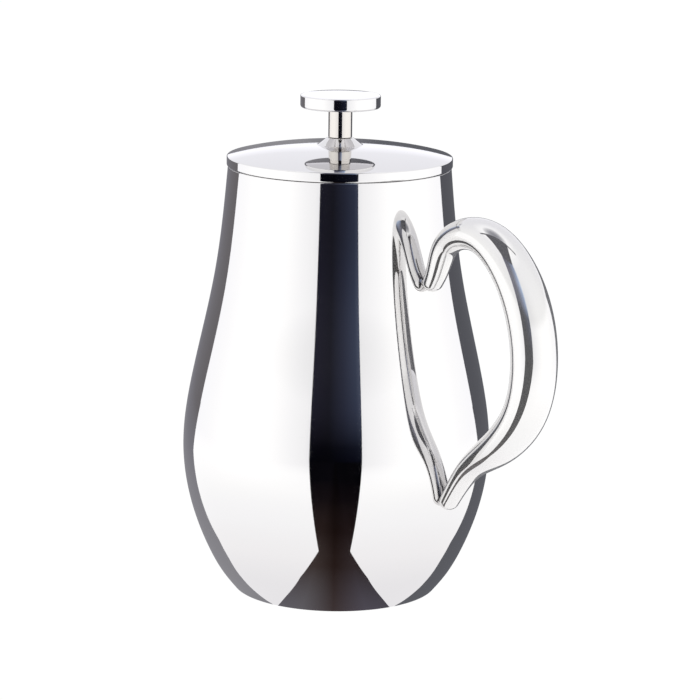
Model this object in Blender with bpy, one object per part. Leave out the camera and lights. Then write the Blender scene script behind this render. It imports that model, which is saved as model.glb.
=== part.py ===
"""French press: a double-wall steel pot with a welded handle, a domed lid and a plunger.

Metres, +Z up. The origin is the centre of the flat base, the handle points to +X and the
pour lip to -X. The plunger is modelled fully pressed down.
"""
import math

import bmesh
import bpy
import numpy as np
from mathutils import Matrix

# ---- driving dimensions -------------------------------------------------------------
SEGMENTS = 40                # facets round a full turn
SMALL_SEGMENTS = 16          # facets round the rod, bush, nut and other thin pieces
GAP = 0.0003                 # space left between two pieces that touch
SLIDE_GAP = 0.0003           # running clearance of the rod and the filter

# pot
BODY_HEIGHT = 0.2068
BASE_RADIUS = 0.0490
BELLY_RADIUS = 0.0746
SHELL_WALL = 0.0008
FOOT_WIDTH = 0.0040          # flat ring that the shell turns in to under the pot
FOOT_FILLET = 0.0018
BELLY_SHARE = 0.3385         # height of the widest place, as a share of the body's height
# (share of the body's height, share of the way from the base or rim radius to the belly's)
SHELL_SHAPE = ((0.039, 0.251), (0.106, 0.551), (0.203, 0.840), (BELLY_SHARE, 1.0),
               (0.508, 0.797), (0.750, 0.288))
LINER_RADIUS = 0.0485        # inside of the drawn cup
LINER_WALL = 0.0008
LINER_FLOOR = 0.0240         # height of the cup's inside floor
LINER_CORNER = 0.0080
RIM_FLANGE = 0.0041          # width of the liner's flange, out from its wall
BASE_PLATE_WALL = 0.0010
BASE_PLATE_EDGE = 0.0040     # height of its turned-up edge
VENT_PLUG_RADIUS = 0.0040
VENT_PLUG_PLACE = 0.0200     # distance from the pot's axis

# pour lip
LIP_REACH = 0.0070
LIP_DIP = 0.0012
LIP_DEPTH = 0.0240           # how far down from the rim the lip starts
LIP_HALF_ANGLE = math.radians(26)

# handle: a tapered oval tube; (distance out from the shell at that height, share of the
# body's height, half thickness)
HANDLE_PATH = ((0.0071, 0.793, 0.0048), (0.0150, 0.861, 0.0060), (0.0365, 0.897, 0.0080),
               (0.0551, 0.838, 0.0093), (0.0635, 0.739, 0.0098), (0.0623, 0.627, 0.0098),
               (0.0522, 0.515, 0.0096), (0.0333, 0.426, 0.0085), (0.0150, 0.362, 0.0059),
               (0.0063, 0.306, 0.0047))
HANDLE_TIP_SHARES = (0.7519, 0.2563)
HANDLE_TIP_HALF = 0.0042
HANDLE_TIP_STANDOFF = 0.0012  # centre of a tip, out from the shell
HANDLE_OVAL = 1.22           # width over thickness
HANDLE_WALL = 0.0012
HANDLE_SIDES = 16
HANDLE_RINGS = 22

# lid
LID_OVERHANG = 0.0006        # how far the lid's rim stands out past the pot's
LID_RIM_HEIGHT = 0.0048
LID_RISE = 0.0056            # rise of the dome from its edge to the axis
LID_EDGE_BEND = 0.2          # share of the rise that comes near the edge, where it bends more
LID_WALL = 0.0006
LID_HEM = 0.0035             # width of the edge folded in under the lid
NECK_FLARE = 0.0044          # how far the neck's foot spreads out into the dome
NECK_FILLET = 0.0016
NECK_TOP = 0.0138            # top of the neck above the pot's rim
INSERT_WALL = 0.0006
INSERT_DEPTH = 0.0040        # how far the insert's plate lies below the pot's rim
SKIRT_GAP = 0.0007           # between the skirt and the liner
SKIRT_WALL = 0.0006
SKIRT_DEPTH = 0.0140
SLOT_COUNT = 9
SLOT_WIDTH = 0.0020
SLOT_HEIGHT = 0.0060
SLOT_PITCH = math.radians(6)

# neck sleeve, guide bush and its clip
BUSH_WALL = 0.0013
SLEEVE_WALL = 0.0005
FLANGE_HEIGHT = 0.0008
SLEEVE_FLANGE_WIDTH = 0.0026
CLIP_HEIGHT = 0.0008
CLIP_WIDTH = 0.0028
CLIP_BITE = 0.0006           # depth of the groove that the clip sits in
CLIP_OPENING = math.radians(40)
BUSH_TAIL = 0.0010           # bush left below the clip

# plunger
ROD_RADIUS = 0.0030
THREAD_SHARE = 0.8           # reduced end of the rod under the collar, as a share of its radius
KNOB_RADIUS = 0.01915
KNOB_HEIGHT = 0.0062
KNOB_TOP_FILLET = 0.0006
KNOB_LOWER_FILLET = 0.0012
KNOB_CROWN = 0.0022          # metal left above the rod's socket
STEM_WALL = 0.0024
STEM_HEIGHT = 0.0138
COLLAR_WALL = 0.0037
COLLAR_HEIGHT = 0.0050
FILTER_CLEARANCE = 0.0080    # from the liner's floor to the nut under the filter
NUT_WALL = 0.0038
NUT_HEIGHT = 0.0060
CROSS_PLATE_MARGIN = 0.0020  # from the lower plate's edge to the liner
CROSS_PLATE_WALL = 0.0008
CROSS_PLATE_EDGE = 0.0022    # height of its turned-down edge
SCREEN_WALL = 0.0005
SCREEN_MARGIN = 0.0010       # from the screen's edge to the liner
SPRING_PLATE_MARGIN = 0.0053  # from the upper plate's edge to the liner, for the coil spring
SPRING_PLATE_WALL = 0.0008
SPRING_PLATE_STEP = 0.0016

# openings in the two filter plates: (count, ring radius, hole radius), the last two as
# shares of the plate's radius
CROSS_PLATE_HOLES = ((8, 0.742, 0.129), (6, 0.409, 0.107))
SPRING_PLATE_HOLES = ((8, 0.718, 0.127), (6, 0.417, 0.097))

# ---- sizes that follow from them ----------------------------------------------------
LINER_OUTER = LINER_RADIUS + LINER_WALL
RIM_RADIUS = LINER_OUTER + RIM_FLANGE
LID_RADIUS = RIM_RADIUS + LID_OVERHANG
LID_BOTTOM = BODY_HEIGHT + GAP
LID_EDGE_TOP = BODY_HEIGHT + LID_RIM_HEIGHT
NECK_TOP_Z = BODY_HEIGHT + NECK_TOP
SKIRT_OUTER = LINER_RADIUS - SKIRT_GAP
PAN_RADIUS = SKIRT_OUTER - SKIRT_WALL - GAP
PAN_FLANGE_Z = LID_BOTTOM + LID_WALL + GAP + INSERT_WALL
PAN_FLOOR = BODY_HEIGHT - INSERT_DEPTH
BUSH_BORE = ROD_RADIUS + SLIDE_GAP
BUSH_RADIUS = BUSH_BORE + BUSH_WALL
SLEEVE_BORE = BUSH_RADIUS + GAP
SLEEVE_RADIUS = SLEEVE_BORE + SLEEVE_WALL
SLEEVE_FLANGE_RADIUS = SLEEVE_RADIUS + SLEEVE_FLANGE_WIDTH
NECK_RADIUS = SLEEVE_RADIUS + GAP + LID_WALL
NECK_FOOT_RADIUS = NECK_RADIUS + NECK_FLARE
SLEEVE_FLANGE_TOP = PAN_FLOOR - GAP
SLEEVE_BOTTOM = SLEEVE_FLANGE_TOP - FLANGE_HEIGHT
SLEEVE_TOP = NECK_TOP_Z - FLANGE_HEIGHT - GAP
CLIP_TOP = SLEEVE_BOTTOM - GAP
CLIP_BOTTOM = CLIP_TOP - CLIP_HEIGHT
BUSH_BOTTOM = CLIP_BOTTOM - GAP - BUSH_TAIL
STEM_RADIUS = ROD_RADIUS + GAP + STEM_WALL
STEM_BOTTOM = NECK_TOP_Z + GAP
STEM_TOP = STEM_BOTTOM + STEM_HEIGHT
KNOB_BOTTOM = STEM_TOP + GAP
KNOB_TOP = KNOB_BOTTOM + KNOB_HEIGHT
SOCKET_TOP = KNOB_TOP - KNOB_CROWN
THREAD_RADIUS = ROD_RADIUS * THREAD_SHARE
NUT_RADIUS = THREAD_RADIUS + GAP + NUT_WALL
COLLAR_RADIUS = ROD_RADIUS + GAP + COLLAR_WALL
CROSS_PLATE_RADIUS = LINER_RADIUS - CROSS_PLATE_MARGIN
SPRING_PLATE_RADIUS = LINER_RADIUS - SPRING_PLATE_MARGIN
NUT_BOTTOM = LINER_FLOOR + FILTER_CLEARANCE
NUT_TOP = NUT_BOTTOM + NUT_HEIGHT
CROSS_PLATE_TOP = NUT_TOP + GAP + CROSS_PLATE_WALL
SCREEN_TOP = CROSS_PLATE_TOP + GAP + SCREEN_WALL
SPRING_PLATE_TOP = SCREEN_TOP + GAP + SPRING_PLATE_WALL
COLLAR_BOTTOM = SPRING_PLATE_TOP + GAP
SPRING_OUTER = LINER_RADIUS * math.cos(math.pi / SEGMENTS) - SLIDE_GAP
SPRING_INNER = SPRING_PLATE_RADIUS + GAP
SPRING_WIRE = (SPRING_OUTER - SPRING_INNER) / 2
SPRING_RING = (SPRING_OUTER + SPRING_INNER) / 2


# ---- outlines -----------------------------------------------------------------------
def shell_points():
    """Places that the pot's outer curve passes through, from the base to the rim."""
    points = [(BASE_RADIUS, 0.0)]
    for share, way in SHELL_SHAPE:
        end = BASE_RADIUS if share <= BELLY_SHARE else RIM_RADIUS
        points.append((end + way * (BELLY_RADIUS - end), share * BODY_HEIGHT))
    points.append((RIM_RADIUS, BODY_HEIGHT))
    return points


def chords(points):
    """Distance along the points, from the first one."""
    runs = np.linalg.norm(np.diff(np.asarray(points, float)[:, :2], axis=0), axis=1)
    return np.concatenate([[0.0], np.cumsum(runs)])


def smooth(where, along, values):
    """Natural cubic spline: bends evenly through the values, straight at both ends."""
    values = np.asarray(values, float)
    step = np.diff(along)
    n = len(along)
    bend = np.eye(n)
    load = np.zeros(n)
    for i in range(1, n - 1):
        bend[i, i - 1:i + 2] = (step[i - 1], 2 * (step[i - 1] + step[i]), step[i])
        rise = (values[i + 1] - values[i]) / step[i] - (values[i] - values[i - 1]) / step[i - 1]
        load[i] = 6 * rise
    curve = np.linalg.solve(bend, load)
    i = np.clip(np.searchsorted(along, where) - 1, 0, n - 2)
    a = (along[i + 1] - where) / step[i]
    b = 1 - a
    return (a * values[i] + b * values[i + 1]
            + ((a ** 3 - a) * curve[i] + (b ** 3 - b) * curve[i + 1]) * step[i] ** 2 / 6)


def shell_radius(height):
    """Outer radius of the pot at a height."""
    points = shell_points()
    along = chords(points)
    where = np.linspace(0, along[-1], 400)
    heights = smooth(where, along, [p[1] for p in points])
    radii = smooth(where, along, [p[0] for p in points])
    return float(np.interp(height, heights, radii))


def rounded(points, steps=2):
    """Outline with fillets: a point may carry a third value, the radius of its corner."""
    line = []
    for i, point in enumerate(points):
        here = np.array(point[:2], float)
        if len(point) == 2:
            line.append(tuple(here))
            continue
        before = np.array(points[i - 1][:2], float) - here
        after = np.array(points[(i + 1) % len(points)][:2], float) - here
        before_length = np.linalg.norm(before)
        after_length = np.linalg.norm(after)
        before /= before_length
        after /= after_length
        half = math.acos(float(np.clip(before @ after, -1, 1))) / 2
        reach = min(point[2] / math.tan(half), 0.49 * before_length, 0.49 * after_length)
        radius = reach * math.tan(half)
        centre = here + (before + after) / np.linalg.norm(before + after) * radius / math.sin(half)
        first = here + before * reach - centre
        last = here + after * reach - centre
        turn = math.atan2(first[0] * last[1] - first[1] * last[0], first @ last)
        for k in range(steps + 1):
            a = turn * k / steps
            line.append((centre[0] + first[0] * math.cos(a) - first[1] * math.sin(a),
                         centre[1] + first[0] * math.sin(a) + first[1] * math.cos(a)))
    return line


def offset(line, distance):
    """The line moved sideways, to its left seen along its direction."""
    line = np.asarray(line, float)
    runs = np.diff(line, axis=0)
    runs /= np.linalg.norm(runs, axis=1)[:, None]
    sides = np.stack([-runs[:, 1], runs[:, 0]], 1)
    moved = []
    for i, point in enumerate(line):
        a = sides[max(i - 1, 0)]
        b = sides[min(i, len(sides) - 1)]
        moved.append(point + distance * (a + b) / (1 + a @ b))
    return [(max(p[0], 0.0) if line[i][0] > 0 else 0.0, p[1]) for i, p in enumerate(moved)]


def sheet(line, wall):
    """Closed outline of sheet metal whose one face is the line; the wall lies to its left."""
    return list(line) + offset(line, wall)[::-1]


# ---- solids -------------------------------------------------------------------------
def turn(outline, segments=SEGMENTS, deform=None):
    """Solid of revolution about Z from a closed outline of (radius, height) points."""
    bm = bmesh.new()
    rings = []
    for radius, height in outline:
        if radius < 1e-7:
            rings.append([bm.verts.new((0.0, 0.0, height))])
            continue
        ring = []
        for k in range(segments):
            a = 2 * math.pi * k / segments
            point = (radius * math.cos(a), radius * math.sin(a), height)
            ring.append(bm.verts.new(deform(point) if deform else point))
        rings.append(ring)
    for i, ring in enumerate(rings):
        join_rings(bm, ring, rings[(i + 1) % len(rings)])
    bmesh.ops.recalc_face_normals(bm, faces=bm.faces)
    return bm


def join_rings(bm, ring, other):
    """Faces between two rings; a ring of one vertex is a pole."""
    count = max(len(ring), len(other))
    if len(ring) == 1 and len(other) == 1:
        return
    for k in range(count):
        n = (k + 1) % count
        if len(ring) == 1:
            bm.faces.new((ring[0], other[k], other[n]))
        elif len(other) == 1:
            bm.faces.new((ring[k], other[0], ring[n]))
        else:
            bm.faces.new((ring[k], other[k], other[n], ring[n]))


def disc_row(places, bottom, top, segments=8):
    """Upright round cutters: (x, y, radius) for each."""
    bm = bmesh.new()
    for x, y, radius in places:
        made = bmesh.ops.create_cone(bm, cap_ends=True, segments=segments, radius1=radius,
                                     radius2=radius, depth=top - bottom)
        bmesh.ops.translate(bm, verts=made["verts"], vec=(x, y, (top + bottom) / 2))
    return bm


def pour_lip(point):
    """Draws a point of the pot's rim out and down to form the lip on the -X side."""
    x, y, z = point
    radius = math.hypot(x, y)
    angle = abs(math.atan2(y, -x))
    depth = (z - (BODY_HEIGHT - LIP_DEPTH)) / LIP_DEPTH
    if angle >= LIP_HALF_ANGLE or depth <= 0:
        return point
    spread = 0.5 + 0.5 * math.cos(math.pi * angle / LIP_HALF_ANGLE)
    scale = 1 + LIP_REACH * spread * depth ** 2 / radius
    return (x * scale, y * scale, z - LIP_DIP * spread * depth ** 2)


# ---- objects ------------------------------------------------------------------------
def clear_scene():
    for obj in list(bpy.data.objects):
        bpy.data.objects.remove(obj, do_unlink=True)


def material(name, colour, roughness, metallic):
    mat = bpy.data.materials.new(name)
    mat.use_nodes = True
    shader = mat.node_tree.nodes["Principled BSDF"]
    shader.inputs["Base Color"].default_value = (*colour, 1.0)
    shader.inputs["Roughness"].default_value = roughness
    shader.inputs["Metallic"].default_value = metallic
    return mat


def empty(name, height, parent=None):
    """Axis of a group of pieces that move together."""
    axis = bpy.data.objects.new(name, None)
    bpy.context.collection.objects.link(axis)
    axis.location = (0, 0, height - (parent["height"] if parent else 0.0))
    axis["height"] = height
    axis.parent = parent
    return axis


def place(name, bm, axis, mat=None):
    """Object with the mesh, whose points are measured from the pot's base, on an axis."""
    bmesh.ops.translate(bm, verts=bm.verts, vec=(0, 0, -axis["height"]))
    mesh = bpy.data.meshes.new(name)
    bm.to_mesh(mesh)
    bm.free()
    mesh.shade_smooth()
    mesh.set_sharp_from_angle(angle=math.radians(35))
    if mat:
        mesh.materials.append(mat)
    obj = bpy.data.objects.new(name, mesh)
    bpy.context.collection.objects.link(obj)
    obj.parent = axis
    return obj


def cut(obj, bm, axis):
    """Subtracts a cutter's mesh from an object."""
    tool = place(obj.name + "_cutter", bm, axis)
    tool.hide_render = True
    tool.display_type = "WIRE"
    boolean = obj.modifiers.new("Cut", "BOOLEAN")
    boolean.operation = "DIFFERENCE"
    boolean.solver = "EXACT"
    boolean.object = tool


# ---- pot ----------------------------------------------------------------------------
def outer_shell_outline():
    """Up the outside of the shell from its foot ring to just below the liner's flange."""
    shell_top = BODY_HEIGHT - LINER_WALL - GAP
    rows = [0.03, 0.08, 0.15, 0.23, 0.31, 0.38, 0.47, 0.57, 0.68, 0.79, 0.885, 0.92, 0.96]
    foot = BASE_RADIUS - FOOT_WIDTH
    line = [(foot, 0.0), (shell_radius(0.0), 0.0, FOOT_FILLET)]
    for share in rows:
        line.append((shell_radius(share * BODY_HEIGHT), share * BODY_HEIGHT))
    line.append((shell_radius(shell_top), shell_top))
    return rounded(line)


def make_pot(axis, steel):
    place("outer_shell", turn(sheet(outer_shell_outline(), SHELL_WALL), deform=pour_lip), axis, steel)

    floor = LINER_FLOOR - LINER_WALL
    cup = [(0.0, floor), (LINER_OUTER, floor, LINER_CORNER)]
    for share in (0.0, 0.35, 0.7):
        cup.append((LINER_OUTER, BODY_HEIGHT - LIP_DEPTH * (1 - share)))
    cup.append((LINER_OUTER, BODY_HEIGHT - LINER_WALL, LINER_WALL))
    cup.append((RIM_RADIUS, BODY_HEIGHT - LINER_WALL))
    place("inner_liner", turn(sheet(rounded(cup), LINER_WALL), deform=pour_lip), axis, steel)

    edge = BASE_RADIUS - FOOT_WIDTH - GAP
    dish = rounded([(0.0, 0.0), (edge, 0.0, BASE_PLATE_WALL), (edge, BASE_PLATE_EDGE)])
    plate = place("base_plate", turn(sheet(dish, BASE_PLATE_WALL)), axis, steel)
    hole = [(-VENT_PLUG_PLACE, 0.0, VENT_PLUG_RADIUS + GAP)]
    cut(plate, disc_row(hole, -BASE_PLATE_WALL, 2 * BASE_PLATE_WALL, SMALL_SEGMENTS), axis)
    plug = [(-VENT_PLUG_PLACE, 0.0, VENT_PLUG_RADIUS)]
    place("base_vent_plug", disc_row(plug, 0.0, BASE_PLATE_WALL, SMALL_SEGMENTS), axis, steel)


# ---- handle -------------------------------------------------------------------------
def handle_points():
    """The tube's centre line from tip to tip, as (distance, height, half thickness)."""
    upper, lower = HANDLE_TIP_SHARES
    stations = [(HANDLE_TIP_STANDOFF, upper, HANDLE_TIP_HALF), *HANDLE_PATH,
                (HANDLE_TIP_STANDOFF, lower, HANDLE_TIP_HALF)]
    return np.array([(shell_radius(share * BODY_HEIGHT) + out, share * BODY_HEIGHT, half)
                     for out, share, half in stations])


def tube(points, wall, sides):
    """Closed oval tube with round ends; a wall above 0 gives the hollow inside it."""
    along = chords(points)
    length = along[-1] - 2 * wall
    tip = HANDLE_TIP_HALF - wall
    near = [tip * (1 - math.cos(math.radians(a))) for a in (30, 60)]
    middle = np.linspace(tip, length - tip, HANDLE_RINGS)
    stations = np.concatenate([near, middle, length - np.array(near[::-1])]) + wall
    bm = bmesh.new()

    def centre(s):
        return np.array([smooth(s, along, points[:, 0]), smooth(s, along, points[:, 1])], float)

    rings = [[bm.verts.new((centre(wall)[0], 0.0, centre(wall)[1]))]]
    for s in stations:
        here = centre(s)
        run = centre(s + 1e-5) - centre(s - 1e-5)
        side = np.array([-run[1], run[0]]) / np.linalg.norm(run)
        end = min(s - wall, length + wall - s, tip)
        round_off = math.sqrt(1 - (1 - end / tip) ** 2)
        half = (float(smooth(s, along, points[:, 2])) - wall) * round_off
        width = half * HANDLE_OVAL if wall == 0 else half + (half + wall) * (HANDLE_OVAL - 1)
        ring = []
        for k in range(sides):
            a = 2 * math.pi * k / sides
            out = here + side * half * math.cos(a)
            ring.append(bm.verts.new((out[0], width * math.sin(a), out[1])))
        rings.append(ring)
    end = centre(along[-1] - wall)
    rings.append([bm.verts.new((end[0], 0.0, end[1]))])
    for ring, other in zip(rings[:-1], rings[1:]):
        join_rings(bm, ring, other)
    bmesh.ops.recalc_face_normals(bm, faces=bm.faces)
    return bm


def make_handle(axis, steel):
    """Hollow tube whose tips are cut to lie flat on the shell, where they are welded."""
    bm = tube(handle_points(), 0.0, HANDLE_SIDES)
    hollow = tube(handle_points(), HANDLE_WALL, 12)
    bmesh.ops.reverse_faces(hollow, faces=hollow.faces)
    inside = bpy.data.meshes.new("hollow")
    hollow.to_mesh(inside)
    hollow.free()
    bm.from_mesh(inside)
    handle = place("handle", bm, axis, steel)
    seat = [(0.0, 0.0)]
    for share in np.linspace(0, 1, 25):
        seat.append((shell_radius(share * BODY_HEIGHT) + GAP, share * BODY_HEIGHT))
    seat.append((0.0, BODY_HEIGHT))
    cut(handle, turn(seat), axis)


# ---- lid ----------------------------------------------------------------------------
def lid_outline():
    """Under the hem, up the rim, over the dome and up the conical neck."""
    line = [(LID_RADIUS - LID_HEM, LID_BOTTOM), (LID_RADIUS, LID_BOTTOM, 0.0006),
            (LID_RADIUS, LID_EDGE_TOP, 0.0010)]
    dome_foot = LID_RADIUS - 0.0012
    for share in (0.1, 0.35, 0.65):
        radius = dome_foot + (NECK_FOOT_RADIUS - dome_foot) * share
        line.append((radius, lid_height(radius)))
    line.append((NECK_FOOT_RADIUS, lid_height(NECK_FOOT_RADIUS), NECK_FILLET))
    line.append((NECK_RADIUS, NECK_TOP_Z))
    return rounded(line)


def lid_height(radius):
    """Height of the dome at a distance from the axis."""
    share = (radius / LID_RADIUS) ** 2
    return LID_EDGE_TOP + LID_RISE * (1 - (1 - LID_EDGE_BEND) * share - LID_EDGE_BEND * share ** 2)


def make_lid(axis, steel, bush_axis, nylon):
    place("lid_cover", turn(sheet(lid_outline(), LID_WALL)), axis, steel)

    bore = SLEEVE_RADIUS + GAP
    flange = LID_RADIUS - LID_WALL - GAP
    pan = rounded([(bore, PAN_FLOOR), (PAN_RADIUS, PAN_FLOOR, 0.0015),
                   (PAN_RADIUS, PAN_FLANGE_Z - INSERT_WALL, 0.0008),
                   (flange, PAN_FLANGE_Z - INSERT_WALL)])
    place("lid_insert", turn(sheet(pan, INSERT_WALL)), axis, steel)

    bottom = BODY_HEIGHT - SKIRT_DEPTH
    ring = [(SKIRT_OUTER - SKIRT_WALL, bottom), (SKIRT_OUTER, bottom),
            (SKIRT_OUTER, BODY_HEIGHT), (SKIRT_OUTER - SKIRT_WALL, BODY_HEIGHT)]
    skirt = place("lid_skirt", turn(ring), axis, steel)
    cut(skirt, slot_cutter(bottom), axis)

    sleeve = [(SLEEVE_BORE, SLEEVE_BOTTOM), (SLEEVE_FLANGE_RADIUS, SLEEVE_BOTTOM),
              (SLEEVE_FLANGE_RADIUS, SLEEVE_FLANGE_TOP), (SLEEVE_RADIUS, SLEEVE_FLANGE_TOP),
              (SLEEVE_RADIUS, SLEEVE_TOP), (SLEEVE_BORE, SLEEVE_TOP)]
    place("neck_sleeve", turn(sleeve, SMALL_SEGMENTS), axis, steel)

    groove = BUSH_RADIUS - CLIP_BITE
    bush = [(BUSH_BORE, BUSH_BOTTOM), (BUSH_RADIUS, BUSH_BOTTOM),
            (BUSH_RADIUS, CLIP_BOTTOM - GAP), (groove, CLIP_BOTTOM - GAP),
            (groove, CLIP_TOP + GAP), (BUSH_RADIUS, CLIP_TOP + GAP),
            (BUSH_RADIUS, SLEEVE_TOP + GAP), (SLEEVE_RADIUS, SLEEVE_TOP + GAP),
            (SLEEVE_RADIUS, NECK_TOP_Z), (BUSH_BORE, NECK_TOP_Z)]
    place("guide_bush", turn(bush, SMALL_SEGMENTS), bush_axis, nylon)
    place("bush_clip", open_ring(groove + GAP, CLIP_WIDTH), bush_axis, steel)


def slot_cutter(bottom):
    """Upright boxes through the skirt on the side of the pour lip."""
    bm = bmesh.new()
    centre_z = bottom + SKIRT_DEPTH * 0.4
    for k in range(SLOT_COUNT):
        made = bmesh.ops.create_cube(bm, size=1.0)
        size = (4 * SKIRT_WALL, SLOT_WIDTH, SLOT_HEIGHT)
        bmesh.ops.scale(bm, verts=made["verts"], vec=size)
        bmesh.ops.translate(bm, verts=made["verts"], vec=(SKIRT_OUTER, 0, centre_z))
        angle = math.pi + (k - (SLOT_COUNT - 1) / 2) * SLOT_PITCH
        bmesh.ops.rotate(bm, verts=made["verts"], matrix=Matrix.Rotation(angle, 3, "Z"))
    return bm


def open_ring(inner, width):
    """Spring clip: a flat ring with an opening on its -X side."""
    bm = bmesh.new()
    steps = SMALL_SEGMENTS
    sections = []
    for k in range(steps + 1):
        a = math.pi + CLIP_OPENING / 2 + (2 * math.pi - CLIP_OPENING) * k / steps
        section = []
        for radius, z in ((inner, CLIP_BOTTOM), (inner + width, CLIP_BOTTOM),
                          (inner + width, CLIP_TOP), (inner, CLIP_TOP)):
            section.append(bm.verts.new((radius * math.cos(a), radius * math.sin(a), z)))
        sections.append(section)
    for section, other in zip(sections[:-1], sections[1:]):
        join_rings(bm, section, other)
    bm.faces.new(sections[0])
    bm.faces.new(sections[-1])
    bmesh.ops.recalc_face_normals(bm, faces=bm.faces)
    return bm


# ---- plunger ------------------------------------------------------------------------
def make_plunger(axis, steel, wire):
    knob = rounded([(ROD_RADIUS + GAP, KNOB_BOTTOM), (KNOB_RADIUS, KNOB_BOTTOM, KNOB_LOWER_FILLET),
                    (KNOB_RADIUS, KNOB_TOP, KNOB_TOP_FILLET), (0.0, KNOB_TOP), (0.0, SOCKET_TOP),
                    (ROD_RADIUS + GAP, SOCKET_TOP)])
    place("knob", turn(knob), axis, steel)
    stem = [(ROD_RADIUS + GAP, STEM_BOTTOM), (STEM_RADIUS, STEM_BOTTOM), (STEM_RADIUS, STEM_TOP),
            (ROD_RADIUS + GAP, STEM_TOP)]
    place("knob_stem", turn(stem, SMALL_SEGMENTS), axis, steel)

    rod = [(0.0, NUT_BOTTOM + 0.0015), (THREAD_RADIUS, NUT_BOTTOM + 0.0015),
           (THREAD_RADIUS, COLLAR_BOTTOM - GAP), (ROD_RADIUS, COLLAR_BOTTOM - GAP),
           (ROD_RADIUS, SOCKET_TOP - GAP), (0.0, SOCKET_TOP - GAP)]
    place("plunger_rod", turn(rod, SMALL_SEGMENTS), axis, steel)
    collar = rounded([(ROD_RADIUS + GAP, COLLAR_BOTTOM), (COLLAR_RADIUS, COLLAR_BOTTOM),
                      (COLLAR_RADIUS, COLLAR_BOTTOM + COLLAR_HEIGHT, 0.001),
                      (ROD_RADIUS + GAP, COLLAR_BOTTOM + COLLAR_HEIGHT)])
    place("rod_collar", turn(collar, SMALL_SEGMENTS), axis, steel)

    bore = THREAD_RADIUS + GAP
    step = SPRING_PLATE_RADIUS * 0.9
    under = SPRING_PLATE_TOP - SPRING_PLATE_WALL
    line = rounded([(bore, under), (step, under), (step + 0.002, under + SPRING_PLATE_STEP),
                    (SPRING_PLATE_RADIUS, under + SPRING_PLATE_STEP)])
    plate = place("spring_plate", turn(sheet(line, SPRING_PLATE_WALL)), axis, steel)
    cut(plate, hole_cutter(SPRING_PLATE_HOLES, SPRING_PLATE_RADIUS, under), axis)

    centre_z = SCREEN_TOP + GAP + SPRING_WIRE
    coil = [(SPRING_RING + SPRING_WIRE * math.cos(a), centre_z + SPRING_WIRE * math.sin(a))
            for a in np.linspace(0, 2 * math.pi, 8, endpoint=False)]
    place("edge_spring", turn(coil), axis, wire)

    screen = sheet([(bore, SCREEN_TOP - SCREEN_WALL),
                    (LINER_RADIUS - SCREEN_MARGIN, SCREEN_TOP - SCREEN_WALL)], SCREEN_WALL)
    place("mesh_screen", turn(screen), axis, wire)

    under = CROSS_PLATE_TOP - CROSS_PLATE_WALL
    line = rounded([(CROSS_PLATE_RADIUS, under - CROSS_PLATE_EDGE),
                    (CROSS_PLATE_RADIUS, CROSS_PLATE_TOP, 0.0015), (bore, CROSS_PLATE_TOP)])
    plate = place("cross_plate", turn(sheet(line, CROSS_PLATE_WALL)), axis, steel)
    cut(plate, hole_cutter(CROSS_PLATE_HOLES, CROSS_PLATE_RADIUS, under), axis)
    nut = rounded([(0.0, NUT_BOTTOM), (NUT_RADIUS, NUT_BOTTOM, 0.002), (NUT_RADIUS, NUT_TOP),
                   (bore, NUT_TOP), (bore, NUT_BOTTOM + 0.0012), (0.0, NUT_BOTTOM + 0.0012)])
    place("hub_nut", turn(nut, SMALL_SEGMENTS), axis, steel)


def hole_cutter(rings, plate_radius, height):
    """Upright round cutters in rings about the axis, through a plate at a height."""
    places = []
    for count, ring_share, hole_share in rings:
        for k in range(count):
            a = 2 * math.pi * k / count
            reach = ring_share * plate_radius
            places.append((reach * math.cos(a), reach * math.sin(a), hole_share * plate_radius))
    return disc_row(places, height - 0.002, height + 0.002)


# ---- assembly -----------------------------------------------------------------------
clear_scene()
polished_steel = material("polished_steel", (0.80, 0.80, 0.79), 0.06, 1.0)
steel_wire = material("steel_wire", (0.62, 0.62, 0.61), 0.28, 1.0)
bush_nylon = material("bush_nylon", (0.72, 0.70, 0.65), 0.45, 0.0)

pot_axis = empty("pot", 0.0)
lid_axis = empty("lid", BODY_HEIGHT, pot_axis)
bush_axis = empty("bush", BUSH_BOTTOM, lid_axis)
plunger_axis = empty("plunger", STEM_BOTTOM, bush_axis)

make_pot(pot_axis, polished_steel)
make_handle(pot_axis, polished_steel)
make_lid(lid_axis, polished_steel, bush_axis, bush_nylon)
make_plunger(plunger_axis, polished_steel, steel_wire)
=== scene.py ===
"""French press in polished stainless steel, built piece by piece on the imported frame."""
import math

import bmesh
import bpy
import numpy as np
from mathutils import Matrix, Vector


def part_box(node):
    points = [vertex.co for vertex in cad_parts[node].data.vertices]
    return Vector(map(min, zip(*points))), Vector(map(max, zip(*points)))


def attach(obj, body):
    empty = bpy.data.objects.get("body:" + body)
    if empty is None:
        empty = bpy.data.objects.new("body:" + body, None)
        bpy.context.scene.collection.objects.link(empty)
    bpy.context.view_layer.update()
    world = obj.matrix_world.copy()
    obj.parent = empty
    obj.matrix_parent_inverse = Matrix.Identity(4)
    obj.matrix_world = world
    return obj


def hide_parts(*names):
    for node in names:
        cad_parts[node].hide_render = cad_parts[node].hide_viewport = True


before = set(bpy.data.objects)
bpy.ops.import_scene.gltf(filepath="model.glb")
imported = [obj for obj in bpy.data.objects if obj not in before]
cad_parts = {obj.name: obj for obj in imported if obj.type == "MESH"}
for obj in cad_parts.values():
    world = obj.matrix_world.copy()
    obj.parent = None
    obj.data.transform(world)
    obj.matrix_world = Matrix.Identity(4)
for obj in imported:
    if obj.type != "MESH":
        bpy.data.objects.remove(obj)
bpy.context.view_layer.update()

# ---- Camera ---------------------------------------------------------------------------
# A long lens on a tripod, looking a little down on the lid, with the handle towards it on
# the right.
CAMERA_TURN = math.radians(45)
CAMERA_DISTANCE = 1.419
CAMERA_HEIGHT = 0.423
CAMERA_SIDE = 0.0061
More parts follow.
